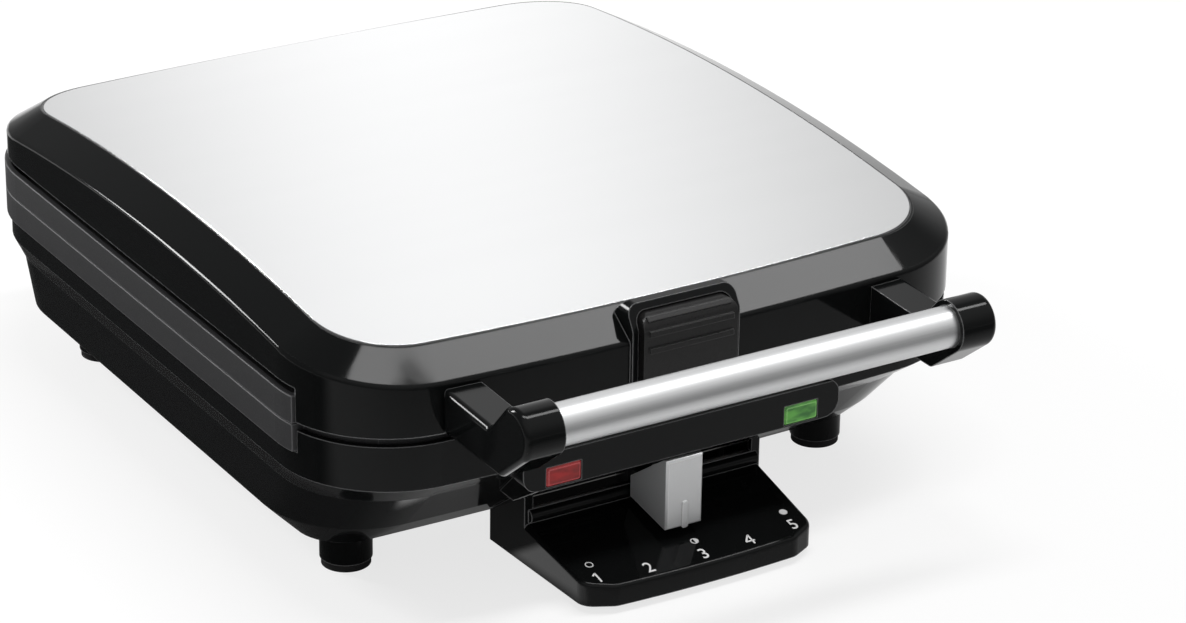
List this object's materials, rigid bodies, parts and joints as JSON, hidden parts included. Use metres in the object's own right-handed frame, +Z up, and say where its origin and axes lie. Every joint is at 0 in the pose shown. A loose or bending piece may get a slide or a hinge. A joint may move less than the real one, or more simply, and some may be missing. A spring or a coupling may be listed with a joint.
{
  "type": "belgian waffle maker",
  "caption": "Countertop waffle maker with a hinged arched lid, deep-grid cooking plates, tube handle, rocker latch and sliding heat control.",
  "frame": {"origin": "on the table, under the middle of the whole object's bounding box", "axes": "+Z up, -Y towards the user at the handle, +X to the user's right"},
  "size_m": [0.2914, 0.3994, 0.1192],
  "materials": {
    "housing": "polished black",
    "latch": "satin dark grey",
    "cover_steel": "finely brushed",
    "tube_metal": "brushed",
    "plate_coating": "matt dark non-stick coating",
    "element_steel": "heat-tinted sheath",
    "reflector_metal": "mill finish sheet",
    "foot_plastic": "polished black",
    "pad_rubber": "matt",
    "knob_grey": "satin silver grey",
    "mechanism_plastic": "natural",
    "fastener_steel": "plated",
    "lens_red": "clear tinted",
    "lens_green": "clear tinted",
    "lamp_glass": "clear"
  },
  "bodies": {
    "base": {"base_housing": "housing", "control_housing": "housing", "lower_plate": "plate_coating", "lower_element": "element_steel", "lower_reflector": "reflector_metal", "lower_plate_screws": "fastener_steel", "lower_reflector_screws": "fastener_steel", "bottom_cover": "reflector_metal", "bottom_cover_screws": "fastener_steel", "cord_bush": "pad_rubber", "terminal_block": "mechanism_plastic", "thermal_fuse": "mechanism_plastic", "red_lens": "lens_red", "green_lens": "lens_green", "red_neon_lamp": "lamp_glass", "green_neon_lamp": "lamp_glass", "slider_rail": "fastener_steel", "thermostat": "fastener_steel", "latch_keeper": "fastener_steel", "hinge_pin_left": "fastener_steel", "hinge_pin_right": "fastener_steel", "foot_front_left": "foot_plastic", "foot_front_right": "foot_plastic", "foot_rear_left": "foot_plastic", "foot_rear_right": "foot_plastic", "foot_pad_front_left": "pad_rubber", "foot_pad_front_right": "pad_rubber", "foot_pad_rear_left": "pad_rubber", "foot_pad_rear_right": "pad_rubber"},
    "lid": {"lid_housing": "housing", "steel_cover": "cover_steel", "upper_plate": "plate_coating", "upper_element": "element_steel", "upper_reflector": "reflector_metal", "upper_plate_screws": "fastener_steel", "upper_reflector_screws": "fastener_steel", "handle_arm_left": "housing", "handle_arm_right": "housing", "handle_tube": "tube_metal", "handle_tie_rod": "fastener_steel", "handle_screws": "fastener_steel", "latch_pin": "fastener_steel", "latch_spring": "fastener_steel"},
    "latch": {"latch_rocker": "latch", "latch_hook": "fastener_steel"},
    "slider": {"slider_knob": "knob_grey", "slider_carriage": "mechanism_plastic"},
    "thermostat_drive": {"thermostat_pinion": "mechanism_plastic", "thermostat_spindle": "fastener_steel"}
  },
  "joints": [
    {"name": "lid_hinge", "type": "hinge", "parent": "base", "child": "lid", "pos_m": [0, 0.19345, 0.079], "axis": [-1, 0, 0], "range_deg": [0, 100]},
    {"name": "latch_pivot", "type": "hinge", "parent": "lid", "child": "latch", "pos_m": [0, -0.13855, 0.098], "axis": [1, 0, 0], "range_deg": [0, 4.4]},
    {"name": "slider_slide", "type": "slide", "parent": "base", "child": "slider", "axis": [1, 0, 0], "range_m": [-0.0444, 0.0444]},
    {"name": "thermostat_turn", "type": "hinge", "parent": "base", "child": "thermostat_drive", "pos_m": [0, -0.06565, 0.03], "axis": [0, 0, 1], "range_deg": [-142, 142]}
  ],
  "couplings": [
    {"joint": "thermostat_turn", "follows": "slider_slide", "rad_per_m": 55.556}
  ]
}
